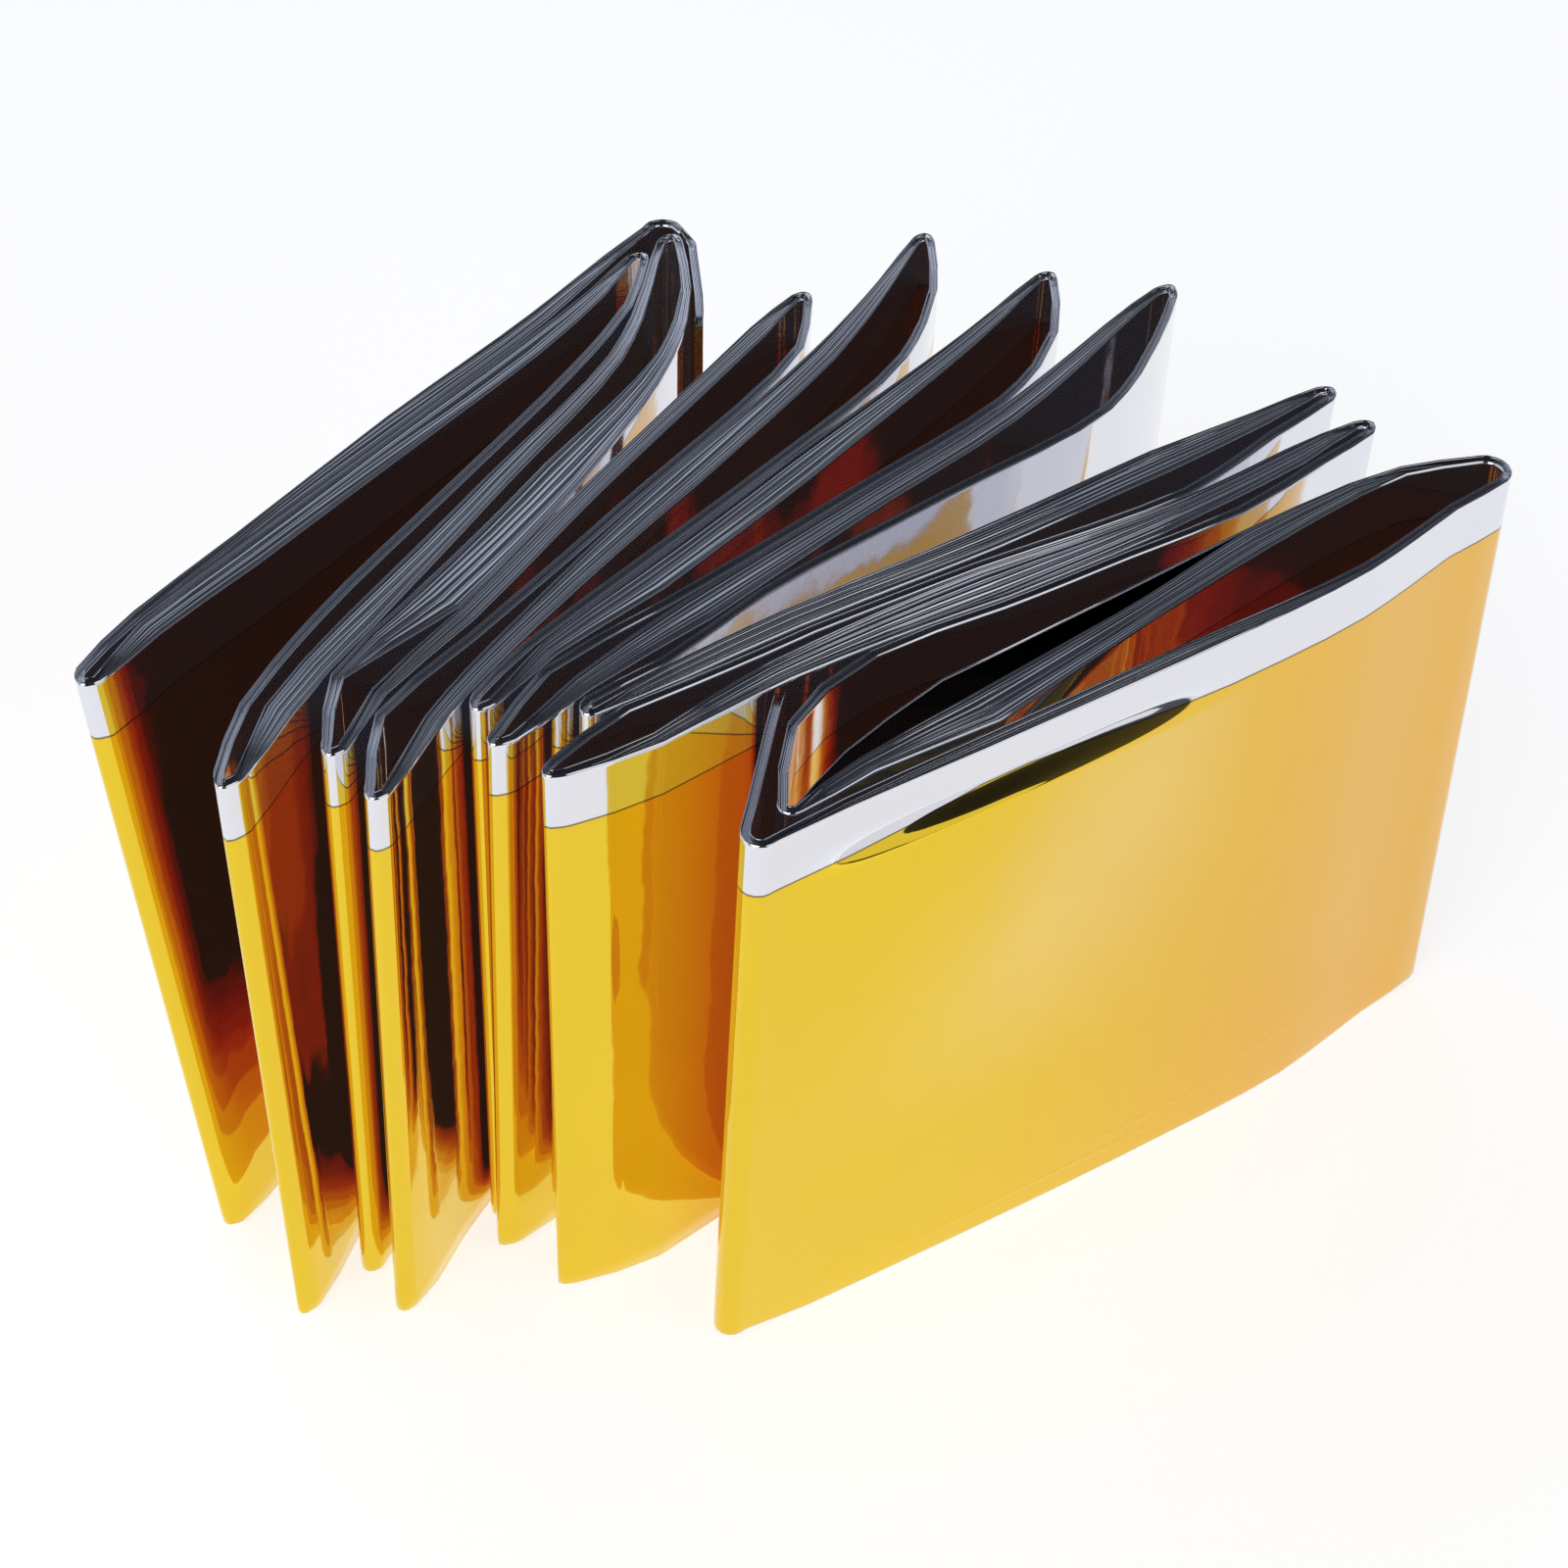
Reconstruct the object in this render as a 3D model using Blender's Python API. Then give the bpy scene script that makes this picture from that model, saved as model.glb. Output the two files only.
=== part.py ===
"""Emergency foil blanket, pleated to a strip and set down as an accordion.

The sheet is first pleated lengthwise into a flat strip as high as one pleat, then the
strip is folded back and forth and stood on its edge.  The solid is that strip: one wall
on one winding line, thin where the pleats have slid apart and thick where they bundle.
Metres, +Z up, standing on z = 0, origin under the middle of its outline.
"""
import math

import bmesh
import bpy
import numpy as np

MM = 0.001
PLEAT = 80.0            # height of the strip, one pleat of the sheet
LINE = 1.0              # thickness of the strip right at a fold
THINNEST = 1.0          # thinnest wall anywhere
CLEARANCE = 0.35        # free gap kept between neighbouring walls
STEP = 7.5              # spacing of the stations along a panel
ARC_DEGREES = (-84.0, -42.0, 0.0, 42.0, 84.0)
SHOULDER = 2.0          # rounding of the top edge
GROOVE_PER_WALL = 0.5   # depth of the hollow along the top of a thick bundle
GROOVE_LIMIT = 2.5

# Folds in the order of the strip: tip on the top edge, how far its foot stands from it,
# and the radius of the bend.  F folds are at the front, R folds at the rear.
FOLD_COLUMNS = ("name", "x", "y", "foot_x", "foot_y", "radius")
FOLDS = (
    ("start", -12.2, -7.0, 0.0, 0.0, 0.0),
    ("R0", -17.8, 16.2, 0.0, 0.0, 2.2),
    ("F1", -71.0, -79.5, 7.3, -4.2, 0.9),
    ("R1", -20.2, 7.6, 0.0, 0.0, 0.9),
    ("F2", -54.2, -94.2, 1.3, -1.9, 0.9),
    ("R2", -16.4, 12.4, 0.0, 0.0, 1.2),
    ("F3", -44.6, -89.0, -1.6, -0.8, 0.9),
    ("R3", 0.4, -0.7, 0.0, 0.0, 0.9),
    ("F4", -39.5, -95.3, -2.2, -0.1, 0.9),
    ("R4", 15.5, 14.6, 0.0, 0.0, 0.9),
    ("F5", -30.9, -81.1, -1.4, 0.8, 1.0),
    ("R5", 30.8, 6.2, 0.0, 0.0, 0.9),
    ("F6", -28.5, -86.5, -2.4, 1.4, 0.9),
    ("R6", 45.5, 3.9, 0.0, 0.0, 1.0),
    ("F7", -19.9, -81.5, -1.6, 1.0, 0.9),
    ("R7", 62.5, -18.1, 0.0, 0.0, 0.9),
    ("F8", -22.7, -91.0, -0.7, 0.4, 0.9),
    ("R8", 66.2, -25.1, 0.0, 0.0, 0.9),
    ("F9", 0.3, -95.6, -2.0, 3.1, 0.9),
    ("R9", 80.4, -32.0, 2.7, -0.6, 2.3),
    ("T", -2.7, -100.4, -2.0, 3.1, 1.6),
    ("end", -0.6, -77.5, -1.0, 1.5, 0.0),
)

# Panels between one fold and the next: sideways bow of the wall from the straight line
# and thickness of the wall, both at these shares of the panel's length.
SHARES = (0.1, 0.25, 0.5, 0.75, 0.9)
PANEL_COLUMNS = ("name", "bow_10", "bow_25", "bow_50", "bow_75", "bow_90",
                 "wall_10", "wall_25", "wall_50", "wall_75", "wall_90")
PANELS = (
    ("hook", -0.5, -1.0, -1.5, -2.0, -1.5, 1.0, 1.0, 1.0, 1.0, 1.0),
    ("P0", -1.0, -0.5, -1.5, -2.0, -2.0, 1.4, 2.2, 2.6, 1.6, 1.2),
    ("P1", 0.5, 0.0, -0.5, -1.0, -0.5, 2.6, 3.2, 3.2, 3.0, 2.0),
    ("P2", 3.0, 2.5, -0.5, -3.5, -3.5, 1.0, 1.0, 1.0, 1.0, 1.0),
    ("P3", 0.5, -0.5, -2.5, -4.5, -1.5, 3.0, 3.4, 2.6, 1.8, 1.2),
    ("P4", 5.5, 8.0, 5.0, 0.5, -4.0, 1.2, 2.0, 5.2, 5.4, 1.4),
    ("P5", 1.0, 0.5, 1.0, 1.0, 1.0, 1.6, 2.1, 2.0, 2.1, 2.2),
    ("P6", 4.0, 3.5, 0.0, -3.5, -5.5, 1.0, 1.0, 1.2, 1.0, 1.0),
    ("P7", 1.0, 1.5, 0.5, -1.5, -0.5, 2.0, 2.4, 3.5, 3.0, 1.8),
    ("P8", 6.0, 9.5, 6.5, 2.0, -0.5, 1.0, 1.0, 1.0, 1.0, 1.0),
    ("P9", 0.0, -0.5, -0.5, -0.5, 0.0, 2.2, 4.0, 4.1, 2.7, 1.8),
    ("P10", 7.0, 10.0, 5.5, 0.5, -3.0, 1.0, 1.0, 1.0, 1.0, 1.0),
    ("P11", 0.0, -0.5, -1.0, -1.5, 0.0, 2.4, 4.0, 2.9, 2.6, 1.8),
    ("P12", 5.0, 9.0, 5.0, 1.0, 1.0, 1.0, 1.0, 1.0, 1.0, 1.0),
    ("P13", -0.5, 0.5, 0.0, 0.5, 0.5, 2.6, 3.1, 3.8, 4.0, 2.4),
    ("P14", 2.0, 4.5, 0.5, -2.5, -3.5, 1.0, 1.0, 1.0, 1.0, 1.0),
    ("P15", -1.5, 0.5, -0.5, -0.5, 0.0, 1.8, 3.4, 5.4, 3.3, 3.0),
    ("P16", 0.5, 0.0, -5.5, -11.0, -8.5, 1.0, 1.0, 1.0, 1.0, 1.0),
    ("P17", 1.5, 2.5, 4.5, 6.0, 5.5, 4.0, 8.4, 5.2, 3.0, 1.4),
    ("P18", 2.5, 4.5, 3.5, 2.0, 1.0, 1.0, 1.2, 2.0, 1.8, 1.4),
    ("tail", 1.0, 0.8, 0.6, 0.4, 0.2, 1.0, 1.0, 1.0, 1.0, 1.0),
)


def clear_scene():
    for item in list(bpy.data.objects):
        bpy.data.objects.remove(item, do_unlink=True)


def rows(columns, table):
    return [dict(zip(columns, row)) for row in table]


def unit(vector):
    return vector / max(float(np.hypot(vector[0], vector[1])), 1e-9)


def winding_line():
    """Points along the strip's top edge with their foot offset and wall thickness."""
    folds = rows(FOLD_COLUMNS, FOLDS)
    panels = rows(PANEL_COLUMNS, PANELS)
    tips = [np.array((fold["x"], fold["y"])) for fold in folds]
    feet = [np.array((fold["foot_x"], fold["foot_y"])) for fold in folds]
    inner = []
    for index, panel in enumerate(panels):
        start, run = tips[index], tips[index + 1] - tips[index]
        across = np.array((-run[1], run[0])) / float(np.hypot(run[0], run[1]))
        stops = []
        for share in SHARES:
            key = "%02d" % round(share * 100)
            foot = feet[index] * (1 - share) + feet[index + 1] * share
            point = start + run * share + across * panel["bow_" + key]
            stops.append((point, foot, panel["wall_" + key], 0.0))
        inner.append(stops)
    line = []
    for index, fold in enumerate(folds):
        if fold["radius"] > 0.0:
            back, ahead = inner[index - 1][-2][0], inner[index][1][0]
            tip, radius = tips[index], fold["radius"]
            axis = -unit(unit(back - tip) + unit(ahead - tip))
            side = np.array((-axis[1], axis[0]))
            if float(np.dot(back - ahead, side)) < 0.0:
                side = -side
            for angle in ARC_DEGREES:
                turn = math.radians(angle)
                point = tip + axis * radius * (math.cos(turn) - 1.0) - side * radius * math.sin(turn)
                line.append((point, feet[index], LINE, 1.0))
        else:
            line.append((tips[index], feet[index], THINNEST, 0.0))
        if index < len(inner):
            line.extend(inner[index])
    return line


def smooth(line):
    """Stations on a centripetal curve through the points, the bends kept as they are."""
    points = np.array([item[0] for item in line])
    extra = np.array([(item[1][0], item[1][1], item[2], item[3]) for item in line])
    padded = np.vstack((2 * points[0] - points[1], points, 2 * points[-1] - points[-2]))
    out, more = [points[0]], [extra[0]]
    for index in range(len(points) - 1):
        four = padded[index:index + 4]
        knots = [0.0]
        for first, second in zip(four[:-1], four[1:]):
            knots.append(knots[-1] + math.sqrt(float(np.hypot(*(second - first)))) + 1e-6)
        span = float(np.hypot(*(points[index + 1] - points[index])))
        both_bent = extra[index][3] > 0.5 and extra[index + 1][3] > 0.5
        count = 1 if both_bent else max(1, round(span / STEP))
        for part in range(1, count + 1):
            share = part / count
            knot = knots[1] + (knots[2] - knots[1]) * share
            low = [four[k] * (knots[k + 1] - knot) + four[k + 1] * (knot - knots[k]) for k in range(3)]
            low = [value / (knots[k + 1] - knots[k]) for k, value in enumerate(low)]
            mid = [(low[k] * (knots[k + 2] - knot) + low[k + 1] * (knot - knots[k]))
                   / (knots[k + 2] - knots[k]) for k in range(2)]
            out.append((mid[0] * (knots[2] - knot) + mid[1] * (knot - knots[1])) / (knots[2] - knots[1]))
            blend = extra[index] * (1 - share) + extra[index + 1] * share
            blend[3] = 1.0 if extra[index + 1][3] > 0.5 and part == count else 0.0
            more.append(blend)
    return np.array(out), np.array(more)


def sideways(line):
    """Unit vectors across the line, halfway between the stretches on either side."""
    ahead = line[1:] - line[:-1]
    ahead /= np.hypot(ahead[:, 0], ahead[:, 1])[:, None]
    ahead = np.vstack((ahead[:1], ahead[:-1] + ahead[1:], ahead[-1:]))
    ahead /= np.hypot(ahead[:, 0], ahead[:, 1])[:, None]
    return np.stack((-ahead[:, 1], ahead[:, 0]), axis=1)


def nearest(points):
    """Closest points on every stretch of the line to every station."""
    start, run = points[:-1], points[1:] - points[:-1]
    length = np.maximum((run ** 2).sum(axis=1), 1e-9)
    share = ((points[:, None, :] - start[None]) * run[None]).sum(axis=2) / length
    share = np.clip(share, 0.0, 1.0)
    foot = start[None] + run[None] * share[..., None]
    apart = points[:, None, :] - foot
    return share, apart, np.sqrt((apart ** 2).sum(axis=2)) + 1e-9


def near_along(points):
    """True where a station and a stretch are one and the same part of the line."""
    along = np.concatenate(((0.0,), np.cumsum(np.hypot(*(points[1:] - points[:-1]).T))))
    middle = 0.5 * (along[1:] + along[:-1])
    return np.abs(along[:, None] - middle[None]) < 5.5


def spread(points, wall, stiff, rounds=220):
    """Neighbouring walls press each other apart until the clearance is free."""
    points = points.copy()
    same = near_along(points)
    weight = np.where(stiff > 0.5, 0.35, 1.0)
    for _ in range(rounds):
        share, apart, gap = nearest(points)
        half = 0.5 * (wall[:-1] * (1 - share) + wall[1:] * share)
        need = 0.5 * wall[:, None] + half + CLEARANCE
        lack = np.where(same, 0.0, np.maximum(need - gap, 0.0))
        push = apart / gap[..., None] * (0.5 * lack)[..., None]
        move = np.zeros_like(points)
        index = np.argmax(lack, axis=1)
        every = np.arange(len(points))
        chosen, part = push[every, index], share[every, index][:, None]
        move += chosen
        np.add.at(move, index, -chosen * (1 - part))
        np.add.at(move, index + 1, -chosen * part)
        move = move * 0.6 * weight[:, None]
        move[1:-1] = 0.5 * move[1:-1] + 0.25 * (move[:-2] + move[2:])
        points += move
    return points


def thin_to_fit(points, wall):
    """The wall is thinned where its neighbour still stands too close."""
    share, _, gap = nearest(points)
    same = near_along(points)
    other = wall[:-1] * (1 - share) + wall[1:] * share
    room = np.where(same, 9.0, (gap - 0.3) / (0.5 * (wall[:, None] + other)))
    return wall * np.clip(room.min(axis=1), 0.8, 1.0)


def stations():
    """Top and foot points of the winding line and the wall thickness at each station."""
    top, extra = smooth(winding_line())
    foot, wall, stiff = top + extra[:, :2], extra[:, 2], extra[:, 3]
    top, foot = spread(top, wall, stiff), spread(foot, wall, stiff)
    wall = np.minimum(thin_to_fit(top, wall), thin_to_fit(foot, wall))
    return top, foot, wall


def strip_object(name):
    """The strip's foot is laid out as a ribbon and drawn up in steps to its top edge."""
    top, foot, wall = stations()
    levels = []
    for height, width in ((0.0, 1.0), (0.5 * PLEAT, 1.0), (PLEAT - SHOULDER, 1.0), (PLEAT, 0.55)):
        line = foot + (top - foot) * (height / PLEAT)
        across = sideways(line) * (0.5 * width * wall)[:, None]
        drop = np.zeros(len(wall))
        if height == PLEAT:
            drop = np.clip(GROOVE_PER_WALL * (wall - LINE), 0.0, GROOVE_LIMIT)
        levels.append(((line + across, height - 0.3 * drop), (line, height - drop),
                       (line - across, height - 0.0 * drop)))
    outline = np.vstack([line for level in levels for line, _ in level])
    middle = 0.5 * (outline.min(axis=0) + outline.max(axis=0))
    mesh = bpy.data.meshes.new(name)
    form = bmesh.new()
    station = form.verts.layers.int.new("station")
    side = form.verts.layers.int.new("side")

    def place(vertices, level):
        for vertex in vertices:
            line, height = levels[level][vertex[side]]
            number = vertex[station]
            tall = height[number] if isinstance(height, np.ndarray) else height
            x, y = line[number] - middle
            vertex.co = (x * MM, y * MM, tall * MM)

    grid = []
    for number in range(len(wall)):
        grid.append([])
        for edge in range(3):
            vertex = form.verts.new()
            vertex[station], vertex[side] = number, edge
            grid[-1].append(vertex)
    place(form.verts, 0)
    for first, second in zip(grid[:-1], grid[1:]):
        for edge in range(2):
            form.faces.new((first[edge], second[edge], second[edge + 1], first[edge + 1]))
    ribbon = form.verts[:] + form.edges[:] + form.faces[:]
    for level in range(1, len(levels)):
        ribbon = bmesh.ops.extrude_face_region(form, geom=ribbon)["geom"]
        place([item for item in ribbon if isinstance(item, bmesh.types.BMVert)], level)
    bmesh.ops.recalc_face_normals(form, faces=form.faces)
    form.to_mesh(mesh)
    form.free()
    mesh.shade_smooth()
    mesh.set_sharp_from_angle(angle=math.radians(40.0))
    item = bpy.data.objects.new(name, mesh)
    bpy.context.scene.collection.objects.link(item)
    return item


def foil_material():
    material = bpy.data.materials.new("gold_foil")
    material.use_nodes = True
    shader = material.node_tree.nodes["Principled BSDF"]
    shader.inputs["Base Color"].default_value = (0.9, 0.62, 0.12, 1.0)
    shader.inputs["Metallic"].default_value = 1.0
    shader.inputs["Roughness"].default_value = 0.12
    return material


def main():
    clear_scene()
    blanket = strip_object("foil_blanket")
    blanket.data.materials.append(foil_material())


if __name__ == "__main__":
    main()
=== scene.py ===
"""Looks of the emergency foil blanket: one gold and silver film, pleated and folded up."""
import math

import bpy
import numpy as np
from mathutils import Matrix


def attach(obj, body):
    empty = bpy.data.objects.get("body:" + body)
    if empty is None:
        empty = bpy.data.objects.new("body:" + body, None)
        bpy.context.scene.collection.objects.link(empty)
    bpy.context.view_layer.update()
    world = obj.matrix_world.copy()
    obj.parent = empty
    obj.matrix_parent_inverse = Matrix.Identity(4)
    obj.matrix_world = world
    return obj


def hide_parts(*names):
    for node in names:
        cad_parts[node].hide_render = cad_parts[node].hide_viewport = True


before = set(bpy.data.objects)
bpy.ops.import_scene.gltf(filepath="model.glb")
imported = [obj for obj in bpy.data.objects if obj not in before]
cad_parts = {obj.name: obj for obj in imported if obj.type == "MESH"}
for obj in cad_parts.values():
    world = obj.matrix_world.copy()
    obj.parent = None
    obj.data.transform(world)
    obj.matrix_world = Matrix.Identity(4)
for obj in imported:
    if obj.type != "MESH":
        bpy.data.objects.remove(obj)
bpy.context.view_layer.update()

bl_info = {
    "name": "Foil Blanket Looks",
    "version": (1, 0, 0),
    "blender": (4, 5, 0),
    "location": "View3D > Sidebar > Foil Blanket",
    "description": "Folds a metallised film sheet into a standing accordion",
    "category": "Object",
}

# Lengths are in millimetres, apart from those that a comment gives in metres.  A place along
# the strip is a panel's number plus a share of its length, so that folds lie at whole numbers.
MM = 0.001
MIDDLE = (5.99, -42.17)     # middle of the outline in the survey's axes

# Sheet and pleats
SHEET = (1.6, 2.1)          # the sheet laid flat, metres
SKIN = 0.006                # half the film's thickness
PLEAT = 80.0                # height of the strip, one pleat of the sheet
LEGS = 20                   # legs of the lengthwise zig-zag
MARGIN = 7.0                # bare silver margin along the long edges

# The strip that is folded up
BEND_WALL = 1.0             # thickness of the strip right at a fold
END_WALL = 1.0              # and at its two ends
STEP = 7.5                  # spacing of the stations that press each other apart
FINE_STEP = 5.6             # spacing of the film's columns along a panel
BEND_PARTS = 2              # columns to each quarter of a bend
ARC_DEGREES = (-84.0, -42.0, 0.0, 42.0, 84.0)
DEGREES_A_PLACE = 8400.0    # a bend reaches a hundredth of a panel to either side of its fold

# Folds in the order of the strip: tip on the top edge, how far its foot stands from it,
# and the radius of the bend.  F folds are at the front, R folds at the rear.
FOLD_COLUMNS = ("name", "x", "y", "foot_x", "foot_y", "radius")
FOLDS = (
    ("start", -12.2, -7.0, 0.0, 0.0, 0.0),
    ("R0", -17.8, 16.2, 0.0, 0.0, 2.2),
    ("F1", -71.0, -79.5, 7.3, -4.2, 0.9),
    ("R1", -20.2, 7.6, 0.0, 0.0, 0.9),
    ("F2", -54.2, -94.2, 1.3, -1.9, 0.9),
    ("R2", -16.4, 12.4, 0.0, 0.0, 1.2),
    ("F3", -44.6, -89.0, -1.6, -0.8, 0.9),
    ("R3", 0.4, -0.7, 0.0, 0.0, 0.9),
    ("F4", -39.5, -95.3, -2.2, -0.1, 0.9),
    ("R4", 15.5, 14.6, 0.0, 0.0, 0.9),
    ("F5", -30.9, -81.1, -1.4, 0.8, 1.0),
    ("R5", 30.8, 6.2, 0.0, 0.0, 0.9),
    ("F6", -28.5, -86.5, -2.4, 1.4, 0.9),
    ("R6", 45.5, 3.9, 0.0, 0.0, 1.0),
    ("F7", -19.9, -81.5, -1.6, 1.0, 0.9),
    ("R7", 62.5, -18.1, 0.0, 0.0, 0.9),
    ("F8", -22.7, -91.0, -0.7, 0.4, 0.9),
    ("R8", 66.2, -25.1, 0.0, 0.0, 0.9),
    ("F9", 0.3, -95.6, -2.0, 3.1, 0.9),
    ("R9", 80.4, -32.0, 2.7, -0.6, 2.3),
    ("T", -2.7, -100.4, -2.0, 3.1, 1.6),
    ("end", -0.6, -77.5, -1.0, 1.5, 0.0),
)

# Panels between one fold and the next: sideways bow of the wall from the straight line
# and thickness of the wall, both at these shares of the panel's length.
SHARES = (0.1, 0.25, 0.5, 0.75, 0.9)
PANEL_COLUMNS = ("name", "bow_10", "bow_25", "bow_50", "bow_75", "bow_90",
                 "wall_10", "wall_25", "wall_50", "wall_75", "wall_90")
PANELS = (
    ("hook", -0.5, -1.0, -1.5, -2.0, -1.5, 1.0, 1.0, 1.0, 1.0, 1.0),
    ("P0", -1.0, -0.5, -1.5, -2.0, -2.0, 1.4, 2.2, 2.6, 1.6, 1.2),
    ("P1", 0.5, 0.0, -0.5, -1.0, -0.5, 2.6, 3.2, 3.2, 3.0, 2.0),
    ("P2", 3.0, 2.5, -0.5, -3.5, -3.5, 1.0, 1.0, 1.0, 1.0, 1.0),
    ("P3", 0.5, -0.5, -2.5, -4.5, -1.5, 3.0, 3.4, 2.6, 1.8, 1.2),
    ("P4", 5.5, 8.0, 5.0, 0.5, -4.0, 1.2, 2.0, 5.2, 5.4, 1.4),
    ("P5", 1.0, 0.5, 1.0, 1.0, 1.0, 1.6, 2.1, 2.0, 2.1, 2.2),
    ("P6", 4.0, 3.5, 0.0, -3.5, -5.5, 1.0, 1.0, 1.2, 1.0, 1.0),
    ("P7", 1.0, 1.5, 0.5, -1.5, -0.5, 2.0, 2.4, 3.5, 3.0, 1.8),
    ("P8", 6.0, 9.5, 6.5, 2.0, -0.5, 1.0, 1.0, 1.0, 1.0, 1.0),
    ("P9", 0.0, -0.5, -0.5, -0.5, 0.0, 2.2, 4.0, 4.1, 2.7, 1.8),
    ("P10", 7.0, 10.0, 5.5, 0.5, -3.0, 1.0, 1.0, 1.0, 1.0, 1.0),
    ("P11", 0.0, -0.5, -1.0, -1.5, 0.0, 2.4, 4.0, 2.9, 2.6, 1.8),
    ("P12", 5.0, 9.0, 5.0, 1.0, 1.0, 1.0, 1.0, 1.0, 1.0, 1.0),
    ("P13", -0.5, 0.5, 0.0, 0.5, 0.5, 2.6, 3.1, 3.8, 4.0, 2.4),
    ("P14", 2.0, 4.5, 0.5, -2.5, -3.5, 1.0, 1.0, 1.0, 1.0, 1.0),
    ("P15", -1.5, 0.5, -0.5, -0.5, 0.0, 1.8, 3.4, 5.4, 3.3, 3.0),
    ("P16", 0.5, 0.0, -5.5, -11.0, -8.5, 1.0, 1.0, 1.0, 1.0, 1.0),
    ("P17", 1.5, 2.5, 4.5, 6.0, 5.5, 4.0, 8.4, 5.2, 3.0, 1.4),
    ("P18", 2.5, 4.5, 3.5, 2.0, 1.0, 1.0, 1.2, 2.0, 1.8, 1.4),
    ("tail", 1.0, 0.8, 0.6, 0.4, 0.2, 1.0, 1.0, 1.0, 1.0, 1.0),
)

# Walls that press each other apart
CLEARANCE = 0.35            # free space left between two walls
ONE_WALL = 5.5              # stations this near along the strip don't press each other
ROUNDS = 220
EASE = 0.6                  # share of its full move that a station makes in one round
BEND_GIVE = 0.35            # how readily a bend moves, against 1 for a free wall

# Heights of the film's rows on the outermost legs, on the two legs behind them and, with the
# first and last of those alone, on all other legs.
OUTER_HEIGHTS = (0.25, 3.0, 20.0, 40.0, 60.0, 76.0, 79.3, 79.9)
BACKING_HEIGHTS = (0.6, 3.0, 20.0, 40.0, 60.0, 76.0, 79.72)

SINES = 7                   # sines in one wave
SINES_PEAK = 2.6            # brings their sum to about 1 at most

# Shares of the wall between one leg and the next: narrow slits open at the top and, from
# each second one to the next, tubes that the pleat closes at the top, five of them wide.
GAPS = (0.5, 0.5, 0.5, 2.3, 0.25, 0.3, 0.15, 2.4, 0.35, 2.1,
        0.15, 0.3, 0.2, 2.4, 0.35, 2.0, 0.5, 0.5, 0.5)
GAP_SEED = 11
GAP_WAVES = (60.0, 420.0)   # shortest and longest wave in which the gaps change
TUBE_CHANGE = 0.35          # how strongly they do
SLIT_CHANGE = 0.8
PRESSED_WALLS = (1.1, 2.0)  # walls from pressed flat to open
PRESSED_GAP = 0.3           # extra share of every gap in a pressed wall
LOOSE_PANEL = 18            # its front film hangs loose from the bundle
LOOSE_START = (0.0, 0.12)   # shares of the panel over which it comes loose
LOOSE_END = (0.45, 0.7)     # and over which it joins the bundle again
LOOSE_GAP = 0.75            # how far it stands off, in shares of the wall

# Tops of the pleats below the strip's height
DROP_SEED = 12
DROP_WAVES = (45.0, 300.0)
WALL_DROP = 0.13            # drop as a share of the wall
DROP_LIMITS = (0.08, 0.45)
OUTER_LEGS = (0, 1, 2, LEGS - 3, LEGS - 2, LEGS - 1)
OUTER_DROP = 0.1            # share of the drop that these keep
NARROW_LEGS = (5, 6, 11, 12)
NARROW_DROP = 1.2           # what the legs of the narrow pleats get on top
PRESSED_DROP = 0.8          # drop of the inner legs in a pressed wall
TOP_ZONE = (60.0, 80.0)     # heights over which a leg's rows share its drop
FOOT_ROOM = 0.2             # how far the second leg's foot stands off, in half walls
HEEL_LIFT = 1.3             # rounding of the folds' bottom corners
HEEL_ZONE = (0.0, 3.0)

# Bare silver width along the free edges, at these places along the strip
BARE = (
    (0.0, MARGIN), (4.95, MARGIN), (5.0, 20.0), (5.5, 14.0), (5.9, MARGIN), (12.7, MARGIN),
    (13.0, 32.0), (13.88, 30.0), (13.93, MARGIN), (14.07, MARGIN), (14.12, 30.0), (14.9, 30.0),
    (15.0, 16.0), (15.3, 10.0), (15.6, MARGIN), (19.45, MARGIN), (19.6, 5.8), (19.7, 4.8),
    (19.72, 4.2), (19.74, 4.8), (19.86, MARGIN),
)

# Soft relief of the outer film: place along the strip, distance from the sheet's
# edge, half length in shares of the panel, half width and depth.  The lean is the film under
# the front margin, which tips inwards and comes back slowly.
LEAN = (19.70, 6.8, 0.32, 2.6, 6.5)
LEAN_FADE = 48.0            # how far below it the film is back on its wall
RIDGES = (
    (16.05, 28.0, 0.010, 12.0, 0.22),
    (16.05, 58.0, 0.010, 10.0, 0.22),
    (19.60, 76.6, 0.35, 0.6, 0.05),
    (19.45, 74.2, 0.25, 0.5, 0.04),
    (19.30, 71.6, 0.20, 0.5, 0.03),
    (16.60, 74.5, 0.40, 0.7, 0.05),
    (8.50, 75.0, 0.40, 0.7, 0.05),
)

# Finish of the film
MIRROR = {"Metallic": 1.0, "Roughness": 0.05}
GLOW = {"Emission Color": (0.8, 0.7, 0.8, 1.0), "Emission Strength": 0.005}
RIPPLE = {"Scale": 60.0, "Detail": 3.0, "Roughness": 0.45}
RIPPLE_STRENGTH = 0.2
RIPPLE_DEPTH = 0.6
MARGIN_LINE = 0.13          # half width of the dark line along the margin
MARGIN_LINE_COLOUR = (0.25, 0.2, 0.1, 1.0)
VALLEY_SHADE = (0.08, 0.22)    # places away from a front fold over which painted shade turns the gold darker inside the valleys
VALLEY_SHADE_END = (18.97, 19.03)
# painted reflection tint: the wide front face gets a softer, more orange gold, standing in for the
# film's colour changing with the angle it reflects at
FRONT_REFLECTION_TINT_START = (18.9, 19.0)
FRONT_REFLECTION_TINT_END = (19.85, 19.1)

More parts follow.
